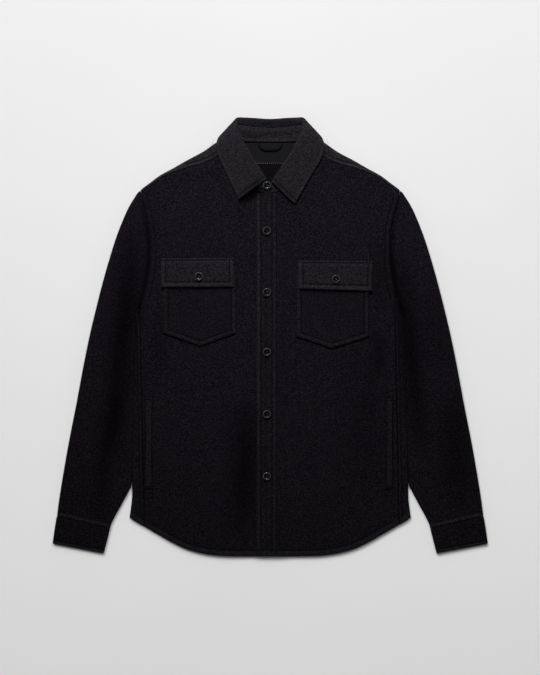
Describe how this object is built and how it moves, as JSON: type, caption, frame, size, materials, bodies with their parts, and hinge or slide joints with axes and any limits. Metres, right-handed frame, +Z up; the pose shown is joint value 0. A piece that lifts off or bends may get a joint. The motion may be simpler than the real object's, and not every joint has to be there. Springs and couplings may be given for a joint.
{
  "type": "shacket laid flat",
  "caption": "Black felted-wool shacket laid flat and buttoned, with shirt collar, flap chest pockets, side welt pockets, cuffed sleeves and a curved hem",
  "frame": {"origin": "the middle of the laid garment's outline, on the surface that it rests on", "axes": "+Y towards the collar, +X towards the wearer's left sleeve, +Z up, away from the surface"},
  "size_m": [0.7776, 0.7844, 0.0184],
  "materials": {
    "felted_wool": "matte felted wool, near black",
    "facing_cloth": "smooth black lining cloth",
    "label_cloth": "woven black satin, bare",
    "button_horn": "polished black"
  },
  "bodies": {
    "root": {"back_panel": "felted_wool", "back_yoke": "felted_wool", "front_right": "felted_wool", "front_left": "felted_wool", "front_placket": "felted_wool", "sleeve_right": "felted_wool", "sleeve_left": "felted_wool", "cuff_right": "felted_wool", "cuff_left": "felted_wool", "collar_stand": "felted_wool", "collar_leaf": "felted_wool", "chest_pocket_right": "felted_wool", "chest_pocket_left": "felted_wool", "pocket_flap_right": "felted_wool", "pocket_flap_left": "felted_wool", "side_welt_right": "felted_wool", "side_welt_left": "felted_wool", "neck_facing": "facing_cloth", "neck_label": "label_cloth", "hanger_loop": "facing_cloth", "front_button_1": "button_horn", "front_button_2": "button_horn", "front_button_3": "button_horn", "front_button_4": "button_horn", "front_button_5": "button_horn", "front_button_6": "button_horn", "pocket_button_right": "button_horn", "pocket_button_left": "button_horn"}
  },
  "joints": []
}
